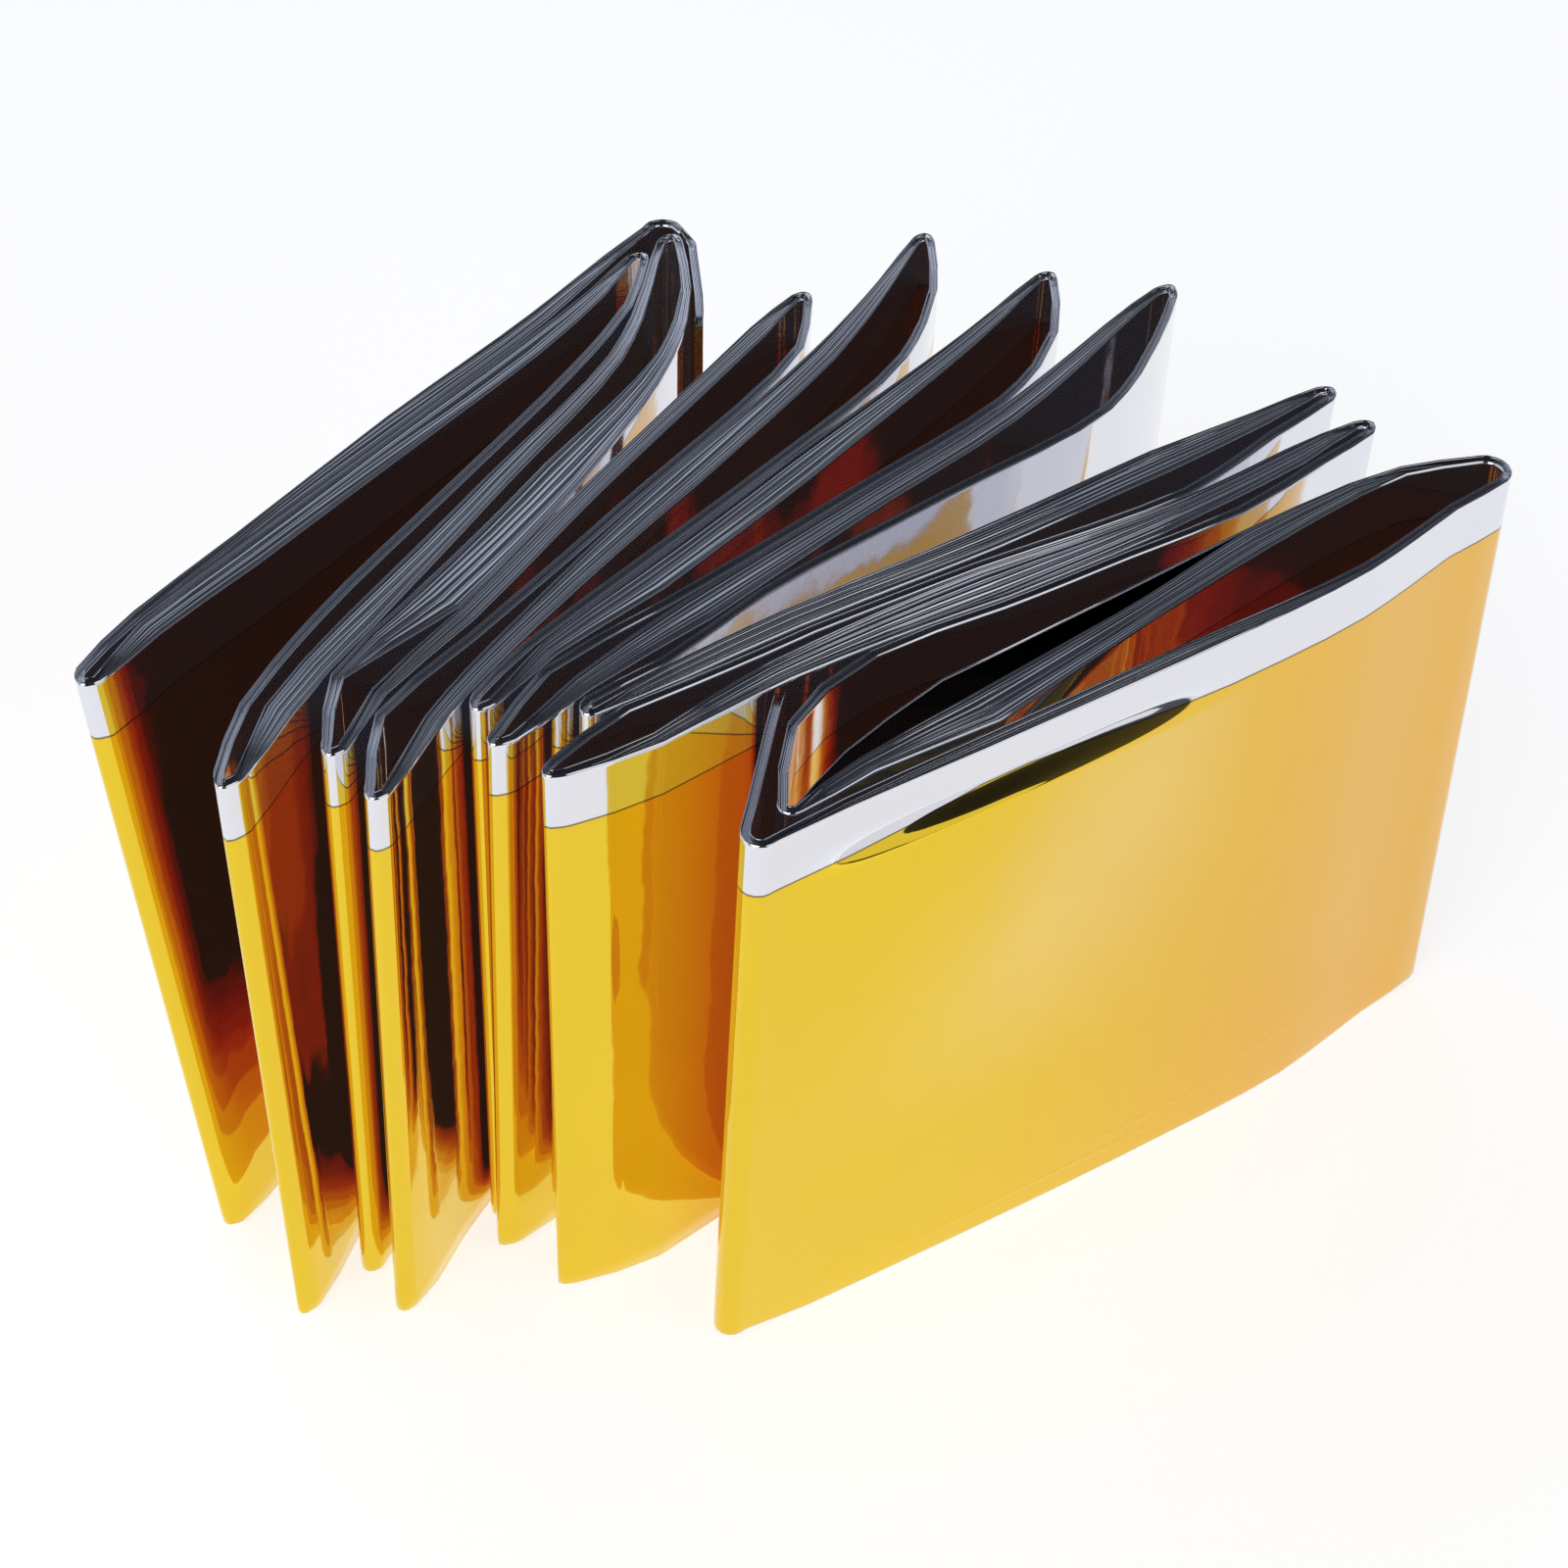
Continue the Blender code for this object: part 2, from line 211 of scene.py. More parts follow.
# The studio, in metres
FLOOR_REACH = 3.0
FLOOR_FINISH = {"Roughness": 0.8, "Specular IOR Level": 0.0,
                "Emission Color": (1.0, 1.0, 1.0, 1.0), "Emission Strength": 0.72}
SKY = (                     # brightness of the surround, from the horizon to straight up
    (0.0, (1.0, 1.0, 1.0, 1.0)),
    (0.14, (0.95, 0.95, 1.0, 1.0)),
    (0.24, (0.8, 0.85, 0.95, 1.0)),
    (0.5, (0.58, 0.63, 0.72, 1.0)),
    (0.68, (0.36, 0.4, 0.47, 1.0)),
    (0.82, (0.1, 0.11, 0.13, 1.0)),
    (1.0, (0.015, 0.015, 0.018, 1.0)),
)
RIGHT_SHADE = (0.0, 0.5, 0.0, 0.92)     # to the right from 0 to 0.5, darker from 0 to 0.92
RIGHT_HORIZON = (-0.02, 0.03)
RIGHT_COLOUR = (0.01, 0.01, 0.012, 1.0)
NEAR_SHADE = (-0.3, -0.6)               # behind the camera
NEAR_HORIZON = (-0.02, 0.02)
NEAR_COLOUR = (0.02, 0.02, 0.022, 1.0)
MIRROR_BOUNCES = 9
LAMPS = (                   # name, place, width and watts
    ("key", (-0.6, -1.2, 0.7), 1.2, 6.0),
    ("fill", (1.1, -0.8, 0.6), 1.2, 3.0),
)
CAMERA_SPOT = (0.0, -293.797, 255.114)  # millimetres in the survey's axes
CAMERA_AXES = ((0.99942, 0.02236, 0.02576), (-0.03411, 0.65527, 0.75463), (0.0, -0.75507, 0.65565))
CAMERA_SENSOR = 36.0
CAMERA_CLIP = (0.01, 20.0)


# The strip's path

def rows(columns, table):
    return [dict(zip(columns, row)) for row in table]


def unit(vector):
    return vector / max(float(np.hypot(vector[0], vector[1])), 1e-9)


def bend(tip, back, ahead, radius):
    """Points on an arc of the radius round a fold, from the panel behind it to the next."""
    axis = -unit(unit(back - tip) + unit(ahead - tip))
    side = np.array((-axis[1], axis[0]))
    if float(np.dot(back - ahead, side)) < 0.0:
        side = -side
    turns = [math.radians(angle) for angle in ARC_DEGREES]
    return [tip + axis * radius * (math.cos(turn) - 1.0) - side * radius * math.sin(turn)
            for turn in turns]


def winding_line():
    """Points of the strip's top edge, each with foot offset, wall, bend mark and place.

    A point of a panel is the straight line between its folds plus the bow across it."""
    folds = rows(FOLD_COLUMNS, FOLDS)
    panels = rows(PANEL_COLUMNS, PANELS)
    tips = [np.array((fold["x"], fold["y"])) for fold in folds]
    feet = [np.array((fold["foot_x"], fold["foot_y"])) for fold in folds]
    inner = []
    for index, panel in enumerate(panels):
        start, run = tips[index], tips[index + 1] - tips[index]
        across = np.array((-run[1], run[0])) / float(np.hypot(run[0], run[1]))
        stops = []
        for share in SHARES:
            key = "%02d" % round(share * 100)
            foot = feet[index] * (1 - share) + feet[index + 1] * share
            point = start + run * share + across * panel["bow_" + key]
            stops.append((point, foot, panel["wall_" + key], 0.0, index + share))
        inner.append(stops)
    line = []
    for index, fold in enumerate(folds):
        if fold["radius"] > 0.0:
            arc = bend(tips[index], inner[index - 1][-2][0], inner[index][1][0], fold["radius"])
            line.extend((point, feet[index], BEND_WALL, 1.0, index + angle / DEGREES_A_PLACE)
                        for point, angle in zip(arc, ARC_DEGREES))
        else:
            line.append((tips[index], feet[index], END_WALL, 0.0, float(index)))
        if index < len(inner):
            line.extend(inner[index])
    return line


def spline(points, index, share):
    """Centripetal cubic through the points, at a share of the span after each index."""
    padded = np.vstack((2 * points[0] - points[1], points, 2 * points[-1] - points[-2]))
    four = [padded[index + step] for step in range(4)]
    gap = [np.sqrt(np.hypot(*(b - a).T)) + 1e-6 for a, b in zip(four[:-1], four[1:])]
    knots = [np.zeros_like(share), gap[0], gap[0] + gap[1], gap[0] + gap[1] + gap[2]]
    knot = knots[1] + (knots[2] - knots[1]) * share

    def mix(a, b, low, high):
        return (a * (knots[high] - knot)[:, None] + b * (knot - knots[low])[:, None]) \
            / (knots[high] - knots[low])[:, None]

    low = [mix(four[k], four[k + 1], k, k + 1) for k in range(3)]
    mid = [mix(low[k], low[k + 1], k, k + 2) for k in range(2)]
    return mix(mid[0], mid[1], 1, 2)


def divide(points, bent, step, bend_parts):
    """Span indices and shares that cut the line into steps, each bend into its own parts."""
    span = np.hypot(*(points[1:] - points[:-1]).T)
    both = (bent[1:] > 0.5) & (bent[:-1] > 0.5)
    count = np.where(both, bend_parts, np.maximum(1, np.round(span / step))).astype(int)
    index = np.repeat(np.arange(len(count)), count)
    first = np.repeat(np.cumsum(count) - count, count)
    share = (np.arange(len(index)) - first + 1.0) / count[index]
    return np.concatenate(((0,), index)), np.concatenate(((0.0,), share))


def carried(values, index, share):
    """Values of the points carried along the spans in straight proportion."""
    return values[index] * (1 - share)[:, None] + values[index + 1] * share[:, None]


def distances(line):
    """Distance of each point from the line's start, the sum of the stretches up to it."""
    return np.concatenate(((0.0,), np.cumsum(np.hypot(*(line[1:] - line[:-1]).T))))


def nearest(points):
    """Closest points on every stretch of the line to every station."""
    start, run = points[:-1], points[1:] - points[:-1]
    length = np.maximum((run ** 2).sum(axis=1), 1e-9)
    share = ((points[:, None, :] - start[None]) * run[None]).sum(axis=2) / length
    share = np.clip(share, 0.0, 1.0)
    foot = start[None] + run[None] * share[..., None]
    apart = points[:, None, :] - foot
    return share, apart, np.sqrt((apart ** 2).sum(axis=2)) + 1e-9


def near_along(points):
    """True where a station and a stretch are one and the same part of the line."""
    along = distances(points)
    middle = 0.5 * (along[1:] + along[:-1])
    return np.abs(along[:, None] - middle[None]) < ONE_WALL


def spread(points, wall, stiff):
    """Neighbouring walls press each other apart until the clearance is free.

    Each station takes half of what it lacks, and the stretch it is too near to takes the
    other half; a move is then evened out between a station and the two beside it."""
    points = points.copy()
    same = near_along(points)
    weight = np.where(stiff > 0.5, BEND_GIVE, 1.0)
    every = np.arange(len(points))
    for _ in range(ROUNDS):
        share, apart, gap = nearest(points)
        half = 0.5 * (wall[:-1] * (1 - share) + wall[1:] * share)
        lack = np.where(same, 0.0, np.maximum(0.5 * wall[:, None] + half + CLEARANCE - gap, 0.0))
        index = np.argmax(lack, axis=1)
        away = apart[every, index] / gap[every, index][:, None]
        chosen = away * (0.5 * lack[every, index])[:, None]
        part = share[every, index][:, None]
        move = chosen.copy()
        np.add.at(move, index, -chosen * (1 - part))
        np.add.at(move, index + 1, -chosen * part)
        move = move * EASE * weight[:, None]
        move[1:-1] = 0.5 * move[1:-1] + 0.25 * (move[:-2] + move[2:])
        points += move
    return points


def sideways(line):
    """Unit vectors across the line, halfway between the stretches on either side."""
    ahead = line[1:] - line[:-1]
    ahead /= np.hypot(ahead[:, 0], ahead[:, 1])[:, None]
    ahead = np.vstack((ahead[:1], ahead[:-1] + ahead[1:], ahead[-1:]))
    ahead /= np.hypot(ahead[:, 0], ahead[:, 1])[:, None]
    return np.stack((-ahead[:, 1], ahead[:, 0]), axis=1)


def strip_path():
    """Top and foot lines of the strip, and at each column its wall, bend mark and place."""
    line = winding_line()
    points = np.array([item[0] for item in line])
    extra = np.array([(*item[1], *item[2:]) for item in line])
    index, share = divide(points, extra[:, 3], STEP, 1)
    top = spline(points, index, share)
    more = carried(extra, index, share)
    wall, place = more[:, 2], more[:, 4]
    stiff = np.where(more[:, 3] > 0.999, 1.0, 0.0)
    foot = top + more[:, :2]
    top, foot = spread(top, wall, stiff), spread(foot, wall, stiff)
    index, share = divide(top, stiff, FINE_STEP, BEND_PARTS)
    wall, bent, place = carried(np.column_stack((wall, stiff, place)), index, share).T
    return spline(top, index, share), spline(foot, index, share), wall, bent, place


# The folded film

def waves(along, seed, count, shortest, longest):
    """Rows of sines added up, with lengths and starts of their own for each row."""
    source = np.random.default_rng(seed)
    total = np.zeros((count, len(along)))
    for _ in range(SINES):
        length = source.uniform(shortest, longest, (count, 1))
        total += np.sin(2 * math.pi * (along[None] / length + source.random((count, 1))))
    return total / SINES_PEAK


def smoothstep(value, low, high):
    """0 up to low, 1 from high on, and 3 s squared minus 2 s cubed between them."""
    share = np.clip((value - low) / (high - low), 0.0, 1.0)
    return share * share * (3 - 2 * share)


def pressed(wall):
    """1 where the wall is pressed flat, 0 where it is open."""
    return 1.0 - smoothstep(wall, *PRESSED_WALLS)


def film_rows():
    """Rows across the sheet: leg, height, and 1 for a row on the fold to the next leg.

    The film runs down the first leg, up the next and so on, with a point at each fold."""
    out = []
    for leg in range(LEGS):
        down = leg % 2 == 0
        if leg in (0, LEGS - 1):
            heights = OUTER_HEIGHTS
        elif leg in OUTER_LEGS:
            heights = BACKING_HEIGHTS
        else:
            heights = (BACKING_HEIGHTS[0], BACKING_HEIGHTS[-1])
        out.extend((leg, height, 0.0) for height in sorted(heights, reverse=down))
        if leg < LEGS - 1:
            out.append((leg, 0.0 if down else PLEAT, 1.0))
    return np.array(out)


def leg_sides(along, wall, place):
    """Places of the legs across the wall, from 1 on one face to -1 on the other.

    The legs share the wall in gaps, each its share in GAPS times e to the power of a wave;
    every second gap is a tube closed at the top, and the others are slits open at the top."""
    tube = (np.arange(LEGS - 1) % 2 == 1)[:, None]
    wander = waves(along, GAP_SEED, LEGS - 1, *GAP_WAVES)
    gaps = np.array(GAPS)[:, None] * np.exp(np.where(tube, TUBE_CHANGE, SLIT_CHANGE) * wander)
    gaps += PRESSED_GAP * pressed(wall)
    share = place - np.floor(place)
    loose = smoothstep(share, *LOOSE_START) * (1 - smoothstep(share, *LOOSE_END))
    loose = np.where(np.floor(place) == LOOSE_PANEL, loose, 0.0)
    gaps[0] += loose * gaps.sum(axis=0) * LOOSE_GAP
    ends = np.concatenate((np.zeros((1, len(along))), np.cumsum(gaps, axis=0)))
    return 1.0 - 2.0 * (ends / gaps.sum(axis=0))


def leg_drops(along, wall):
    """How far the top of each leg lies below the strip's height.

    A wave for each two legs that a pleat joins at the top, times a share of the wall."""
    wave = 0.5 * (1.0 + np.clip(waves(along, DROP_SEED, LEGS, *DROP_WAVES), -1, 1))
    wave[1::2] = np.vstack((wave[2::2], wave[-1:]))
    wave[list(OUTER_LEGS)] *= OUTER_DROP
    wave[list(NARROW_LEGS)] += NARROW_DROP
    sunk = np.ones((LEGS, 1))
    sunk[list(OUTER_LEGS)] = 0.0
    return wave * np.clip(WALL_DROP * wall[None], *DROP_LIMITS) + sunk * pressed(wall) * PRESSED_DROP


def film_surface():
    """Points of the folded film: rows across the sheet by columns along the strip.

    A point is the strip's line at its height plus the leg's place across the wall."""
    top, foot, wall, bent, place = strip_path()
    along = distances(top)
    film = film_rows()
    leg, height = film[:, 0].astype(int), film[:, 1:2]
    turn = film[:, 2] > 0.5
    sides = leg_sides(along, wall, place)
    side = sides[leg]
    side[turn] = 0.5 * (sides[leg[turn]] + sides[leg[turn] + 1])
    # the leg behind each outer one stays clear of it down to the foot
    inward = np.select((leg == 1, leg == LEGS - 2), (-1, 1), 0)[:, None]
    side += inward * (1 - height / PLEAT) * FOOT_ROOM
    height = height - leg_drops(along, wall)[leg] * smoothstep(height, *TOP_ZONE)
    height = height + bent[None] * HEEL_LIFT * (1 - smoothstep(height, *HEEL_ZONE))
    level = (height / PLEAT)[..., None]
    line = foot[None] * (1 - level) + top[None] * level
    normal = sideways(foot)[None] * (1 - level) + sideways(top)[None] * level
    flat = line + normal * (side * 0.5 * wall[None])[..., None]
    points = np.concatenate((flat, height[..., None]), axis=2)
    across = leg * PLEAT + np.where(leg % 2 == 0, PLEAT - film[:, 1], film[:, 1])
    return points, along, across, place


def surface_normals(points):
    """Unit normals of a grid of points, from the steps to its neighbours."""
    along = np.gradient(points, axis=1)
    across = np.gradient(points, axis=0)
    normal = np.cross(along, across)
    return normal / (np.linalg.norm(normal, axis=2, keepdims=True) + 1e-12)


def film_faces(high, wide):
    """Triangles of the gold face, the silver face and the rim, of a grid high by wide.

    Neighbouring legs run opposite ways and are split along the same diagonal of the strip."""
    number = np.arange(high * wide).reshape(high, wide)
    a, b, c, d = number[:-1, :-1], number[:-1, 1:], number[1:, 1:], number[1:, :-1]
    falling = np.stack((a, b, c, a, c, d), axis=2)
    rising = np.stack((a, b, d, b, c, d), axis=2)
    front = np.where(film_rows()[:-1, :1, None] % 2 == 0, falling, rising).reshape(-1, 3)
    back = front[:, ::-1] + high * wide
    near = np.concatenate((number[0, :], number[1:, -1], number[-1, -2::-1], number[-2::-1, 0]))
    far = near + high * wide
    rim = np.stack((near[1:], near[:-1], far[:-1], near[1:], far[:-1], far[1:]), axis=1)
    return front, back, rim.reshape(-1, 3)


def film_mesh(name):
    """The film as a closed skin: a gold face, a silver face 0.012 mm behind it and a rim.

    Each face is the surface moved by half the film's thickness along its normal."""
    points, along, across, place = film_surface()
    normal = surface_normals(points)
    high, wide = points.shape[:2]
    both = np.concatenate(((points + normal * SKIN).reshape(-1, 3),
                           (points - normal * SKIN).reshape(-1, 3)))
    both = (both - np.array((*MIDDLE, 0.0))) * MM
    front, back, rim = film_faces(high, wide)
    faces = np.concatenate((front, back, rim))
    mesh = bpy.data.meshes.new(name)
    mesh.from_pydata(both.tolist(), [], faces.tolist())
    silver = np.arange(len(faces)) >= len(front)
    mesh.polygons.foreach_set("material_index", silver.astype(int))
    mesh.polygons.foreach_set("use_smooth", np.ones(len(faces), dtype=bool))
    grid = np.stack(np.meshgrid(along * MM, across * MM), axis=2).reshape(-1, 2)
    grid = np.concatenate((grid, grid))
    flat = mesh.uv_layers.new(name="flat")
    flat.data.foreach_set("uv", grid[faces.reshape(-1)].astype(np.float32).reshape(-1))
    bare = np.interp(place, *np.transpose(BARE)) * MM
    for key, values in (("place", place), ("bare", bare)):
        spot = mesh.attributes.new(key, "FLOAT", "POINT")
        spot.data.foreach_set("value", np.tile(values, 2 * high).astype(np.float32))
    mesh.update()
    return mesh


# Materials

class Socket:
    """A shader value that can be used in ordinary arithmetic."""

    def __init__(self, tree, link):
        self.tree, self.link = tree, link

    def output(self, number):
        """Another output of the same node."""
        return Socket(self.tree, self.link.node.outputs[number])

    def maths(self, kind, *values):
        return Nodes(self.tree).add("ShaderNodeMath", {"operation": kind}, values)

    def __add__(self, other):
        return self.maths("ADD", self, other)

    __radd__ = __add__

    def __mul__(self, other):
        return self.maths("MULTIPLY", self, other)

    __rmul__ = __mul__

    def __sub__(self, other):
        return self.maths("SUBTRACT", self, other)

    def __rsub__(self, other):
        return self.maths("SUBTRACT", other, self)

    def __gt__(self, other):
        return self.maths("GREATER_THAN", self, other)

    def __lt__(self, other):
        return self.maths("LESS_THAN", self, other)

    def __abs__(self):
        return self.maths("ABSOLUTE", self)


class Nodes:
    """Adds nodes to a tree."""

    def __init__(self, tree):
        self.tree = tree

    def feed(self, node, values):
        """Set or link a node's sockets, by name or number."""
        for key, value in values.items():
            if isinstance(value, Socket):
                self.tree.links.new(value.link, node.inputs[key])
            else:
                node.inputs[key].default_value = value

    def add(self, kind, settings=None, values=(), output=0):
        """A node of this type: its settings first, then values or links of its sockets."""
        node = self.tree.nodes.new(kind)
        for key, value in (settings or {}).items():
            if key == "stops":
                ramp = node.color_ramp
                while len(ramp.elements) < len(value):
                    ramp.elements.new(0.5)
                for element, (position, colour) in zip(ramp.elements, value):
                    element.position, element.color = position, colour
            else:
                setattr(node, key, value)
        self.feed(node, values if isinstance(values, dict) else dict(enumerate(values)))
        return Socket(self.tree, node.outputs[output])

    def smooth(self, value, low, high):
        """0 at low and 1 at high, with an even start and end; low may be the larger."""
        if low > high:
            return 1.0 - self.smooth(value, high, low)
        return self.add("ShaderNodeMapRange", {"interpolation_type": "SMOOTHSTEP"},
                        (value, low, high, 0.0, 1.0))

    def mix(self, share, first, second):
        """One colour into another; a Mix node has its colours at sockets 6, 7 and 2."""
        return self.add("ShaderNodeMix", {"data_type": "RGBA"}, {0: share, 6: first, 7: second}, 2)

    def attribute(self, name):
        return self.add("ShaderNodeAttribute", {"attribute_name": name}, output=2)


def new_material(name, values):
    """A material, its nodes and its shader, with these values on the shader's sockets."""
    material = bpy.data.materials.new(name)
    material.use_nodes = True
    nodes = Nodes(material.node_tree)
    shader = material.node_tree.nodes["Principled BSDF"]
    nodes.feed(shader, values)
    return material, nodes, shader


def rippled(nodes, flat):
    """Normal of the faintly uneven film."""
    ripple = nodes.add("ShaderNodeTexNoise", {"noise_dimensions": "2D"}, {"Vector": flat, **RIPPLE})
    return nodes.add("ShaderNodeBump", {}, {
        "Strength": RIPPLE_STRENGTH, "Distance": RIPPLE_DEPTH * MM, "Height": ripple})


def film_relief(nodes, place, depth):
    """Height of the lean and the ridges, in metres, added up.

    Each is a smooth hump along the strip times a smooth rise or hump across it."""
    def along(spot, length):
        return nodes.smooth(abs(place - spot), length, 0.0)

    spot, middle, length, tall, push = LEAN
    low, high = (middle - tall) * MM, (middle + tall) * MM
    shape = nodes.smooth(depth, low, high) * nodes.smooth(depth, high + LEAN_FADE * MM, high)
    height = shape * along(spot, length) * (push * MM)
    for spot, middle, length, tall, push in RIDGES:
        shape = nodes.smooth(abs(depth - middle * MM), tall * MM, 0.0)
        height = shape * along(spot, length) * (push * MM) + height
    return height


def gold_material(name, gold, valley_shade_gold, front_reflection_gold, silver):
    """The gold face: yellow on the front folds, darker with painted shade inside the valleys, softer
    with a painted reflection tint on the wide front face, with a bare silver margin and a thin dark
    line along the margin's edge."""
    material, nodes, shader = new_material(name, {**MIRROR, **GLOW})
    flat = nodes.add("ShaderNodeUVMap", {"uv_map": "flat"})
    across = nodes.add("ShaderNodeSeparateXYZ", {}, (flat,), 1)
    place = nodes.attribute("place")
    middle = SHEET[0] / 2
    out = abs(across - middle)
    margin_start = middle - nodes.attribute("bare")
    fold = nodes.add("ShaderNodeMath", {"operation": "PINGPONG"}, (place, 1.0))
    # painted shade: the walls inside the valleys, away from the folds, take the darker valley gold
    valley_shade = nodes.smooth(fold, *VALLEY_SHADE) * (1.0 - nodes.smooth(place, *VALLEY_SHADE_END))
    # painted reflection tint on the wide front face
    front = nodes.smooth(place, *FRONT_REFLECTION_TINT_START) * nodes.smooth(place, *FRONT_REFLECTION_TINT_END)
    paint = nodes.mix(valley_shade, gold, valley_shade_gold)
    paint = nodes.mix(front, paint, front_reflection_gold)
    paint = nodes.mix(out > margin_start, paint, silver)
    paint = nodes.mix(abs(out - margin_start) < MARGIN_LINE * MM, paint, MARGIN_LINE_COLOUR)
    bump = nodes.add("ShaderNodeBump", {}, {
        "Strength": 1.0, "Distance": 1.0, "Height": film_relief(nodes, place, middle - out),
        "Normal": rippled(nodes, flat)})
    nodes.feed(shader, {"Base Color": paint, "Normal": bump})
    return material


def silver_material(name, silver):
    """The silver face: a plain mirror, faintly uneven."""
    material, nodes, shader = new_material(name, {**MIRROR, "Base Color": silver})
    flat = nodes.add("ShaderNodeUVMap", {"uv_map": "flat"})
    nodes.feed(shader, {"Normal": rippled(nodes, flat)})
    return material


# Stage

def put(scene, name, data, spot, axes):
    """An object at a spot, with its own x, y and z turned along the three axes."""
    thing = bpy.data.objects.new(name, data)
    turn = Matrix(np.column_stack(axes).tolist())
    thing.matrix_world = Matrix.Translation(spot) @ turn.to_4x4()
    scene.collection.objects.link(thing)
    return thing


def add_floor(scene, colour):
    """A wide pale square at height zero."""
    reach = FLOOR_REACH
    mesh = bpy.data.meshes.new("floor")
    mesh.from_pydata([(-reach, -reach, 0), (reach, -reach, 0), (reach, reach, 0), (-reach, reach, 0)],
                     [], [(0, 1, 2, 3)])
    mesh.materials.append(new_material("floor_paint", {"Base Color": colour, **FLOOR_FINISH})[0])
    floor = bpy.data.objects.new("floor", mesh)
    scene.collection.objects.link(floor)


def add_surround(scene):
    """Studio walls: bright at the horizon, darker upwards, to the right and behind the camera."""
    world = bpy.data.worlds.new("studio")
    world.use_nodes = True
    nodes = Nodes(world.node_tree)
    ray = nodes.add("ShaderNodeTexCoord")
    right = nodes.add("ShaderNodeSeparateXYZ", {}, (ray,))
    ahead, up = right.output(1), right.output(2)
    tone = nodes.add("ShaderNodeValToRGB", {"stops": SKY}, (up,))
    shade = nodes.add("ShaderNodeMapRange", {}, (right, *RIGHT_SHADE))
    tone = nodes.mix(shade * nodes.smooth(up, *RIGHT_HORIZON), tone, RIGHT_COLOUR)
    near = nodes.smooth(ahead, *NEAR_SHADE) * nodes.smooth(up, *NEAR_HORIZON)
    tone = nodes.mix(near, tone, NEAR_COLOUR)
    nodes.feed(world.node_tree.nodes["Background"], {"Color": tone, "Strength": 1.0})
    scene.world = world


def add_lamps(scene):
    """Round soft lamps that face the blanket."""
    for name, spot, width, power in LAMPS:
        data = bpy.data.lights.new(name, "AREA")
        data.shape, data.size, data.energy = "DISK", width, power
        back = np.array(spot) / np.linalg.norm(spot)
        right = np.cross((0.0, 0.0, 1.0), back)
        right /= np.linalg.norm(right)
        put(scene, name, data, spot, (right, np.cross(back, right), back))


def add_camera(scene, lens):
    """The camera at the photograph's angle."""
    data = bpy.data.cameras.new("view")
    data.lens, data.sensor_width = lens, CAMERA_SENSOR
    data.clip_start, data.clip_end = CAMERA_CLIP
    spot = (np.array(CAMERA_SPOT) - np.array((*MIDDLE, 0.0))) * MM
    scene.camera = put(scene, "view", data, tuple(spot), CAMERA_AXES)


# Add-on parts

class FilmSettings(bpy.types.PropertyGroup):
    gold: bpy.props.FloatVectorProperty(
        name="Gold", description="Colour of the gold face", subtype="COLOR", size=4, min=0.0,
        max=1.0, default=(0.81, 0.565, 0.035, 1.0))
    # painted shade: the darker gold of the walls inside the valleys
    valley_shade: bpy.props.FloatVectorProperty(
        name="Deep gold", description="Colour of the walls inside the valleys", subtype="COLOR",
        size=4, min=0.0, max=1.0, default=(0.75, 0.39, 0.015, 1.0))
    # painted reflection tint: the softer gold of the wide front face
    front: bpy.props.FloatVectorProperty(
        name="Front gold", description="Colour of the wide front face", subtype="COLOR", size=4,
        min=0.0, max=1.0, default=(0.79, 0.45, 0.08, 1.0))
    silver: bpy.props.FloatVectorProperty(
        name="Silver", description="Colour of the silver face and margins", subtype="COLOR",
        size=4, min=0.0, max=1.0, default=(0.75, 0.755, 0.8, 1.0))


class StageSettings(bpy.types.PropertyGroup):
    lens: bpy.props.FloatProperty(
        name="Lens", description="Camera focal length in millimetres", default=63.0, min=10.0,
        max=300.0)
    floor: bpy.props.FloatVectorProperty(
        name="Floor", description="Colour of the floor", subtype="COLOR", size=4, min=0.0,
        max=1.0, default=(0.9, 0.9, 0.9, 1.0))


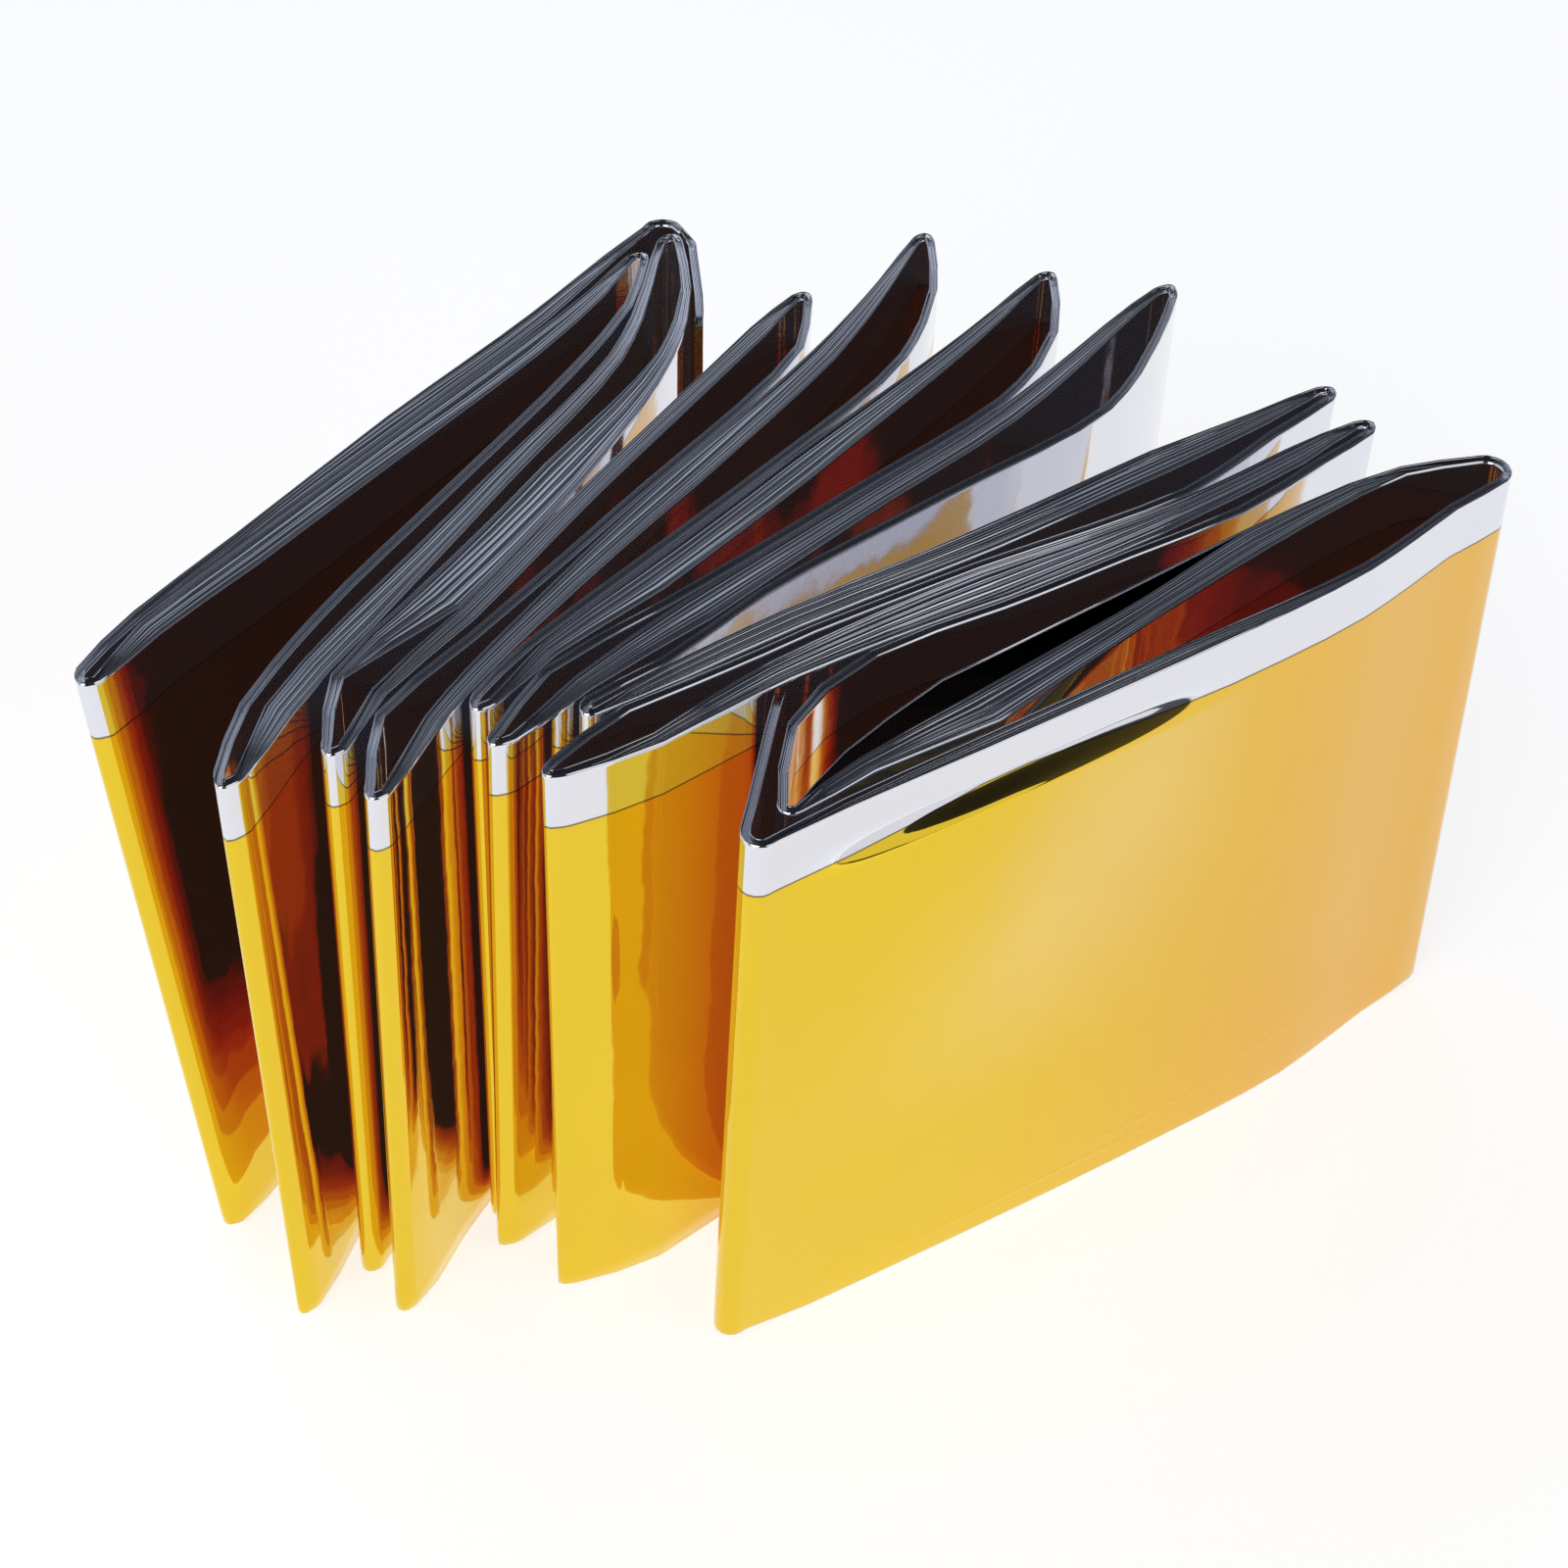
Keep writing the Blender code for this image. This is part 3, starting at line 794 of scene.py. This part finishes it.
class FOIL_OT_film(bpy.types.Operator):
    """Fold the film sheet"""
    bl_idname = "foil.film"
    bl_label = "Fold the film"

    def execute(self, context):
        settings = context.scene.foil_film
        gold, valley_shade, front, silver = (
            tuple(colour) for colour in (settings.gold, settings.valley_shade, settings.front, settings.silver))
        blanket = bpy.data.objects.new("film_sheet", film_mesh("film_sheet"))
        context.scene.collection.objects.link(blanket)
        blanket.data.materials.append(gold_material("gold_film", gold, valley_shade, front, silver))
        blanket.data.materials.append(silver_material("silver_film", silver))
        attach(blanket, "root")
        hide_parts("foil_blanket")
        return {"FINISHED"}


class FOIL_OT_stage(bpy.types.Operator):
    """Set up floor, lights and camera"""
    bl_idname = "foil.stage"
    bl_label = "Set up the stage"

    def execute(self, context):
        scene, settings = context.scene, context.scene.foil_stage
        add_floor(scene, tuple(settings.floor))
        add_surround(scene)
        add_lamps(scene)
        add_camera(scene, settings.lens)
        scene.view_settings.view_transform = "Standard"
        scene.cycles.glossy_bounces = MIRROR_BOUNCES
        return {"FINISHED"}


class FOIL_PT_panel(bpy.types.Panel):
    """Foil blanket tools"""
    bl_idname = "FOIL_PT_panel"
    bl_label = "Foil Blanket"
    bl_space_type = "VIEW_3D"
    bl_region_type = "UI"
    bl_category = "Foil Blanket"

    def draw(self, context):
        layout = self.layout
        for group, operator in (("foil_film", "foil.film"), ("foil_stage", "foil.stage")):
            settings = getattr(context.scene, group)
            for key in settings.__annotations__:
                layout.prop(settings, key)
            layout.operator(operator)


CLASSES = (FilmSettings, StageSettings, FOIL_OT_film, FOIL_OT_stage, FOIL_PT_panel)


def register():
    for kind in CLASSES:
        bpy.utils.register_class(kind)
    bpy.types.Scene.foil_film = bpy.props.PointerProperty(type=FilmSettings)
    bpy.types.Scene.foil_stage = bpy.props.PointerProperty(type=StageSettings)


def unregister():
    del bpy.types.Scene.foil_film
    del bpy.types.Scene.foil_stage
    for kind in reversed(CLASSES):
        bpy.utils.unregister_class(kind)


def main():
    register()
    bpy.ops.foil.film()
    bpy.ops.foil.stage()


if __name__ == "__main__":
    main()
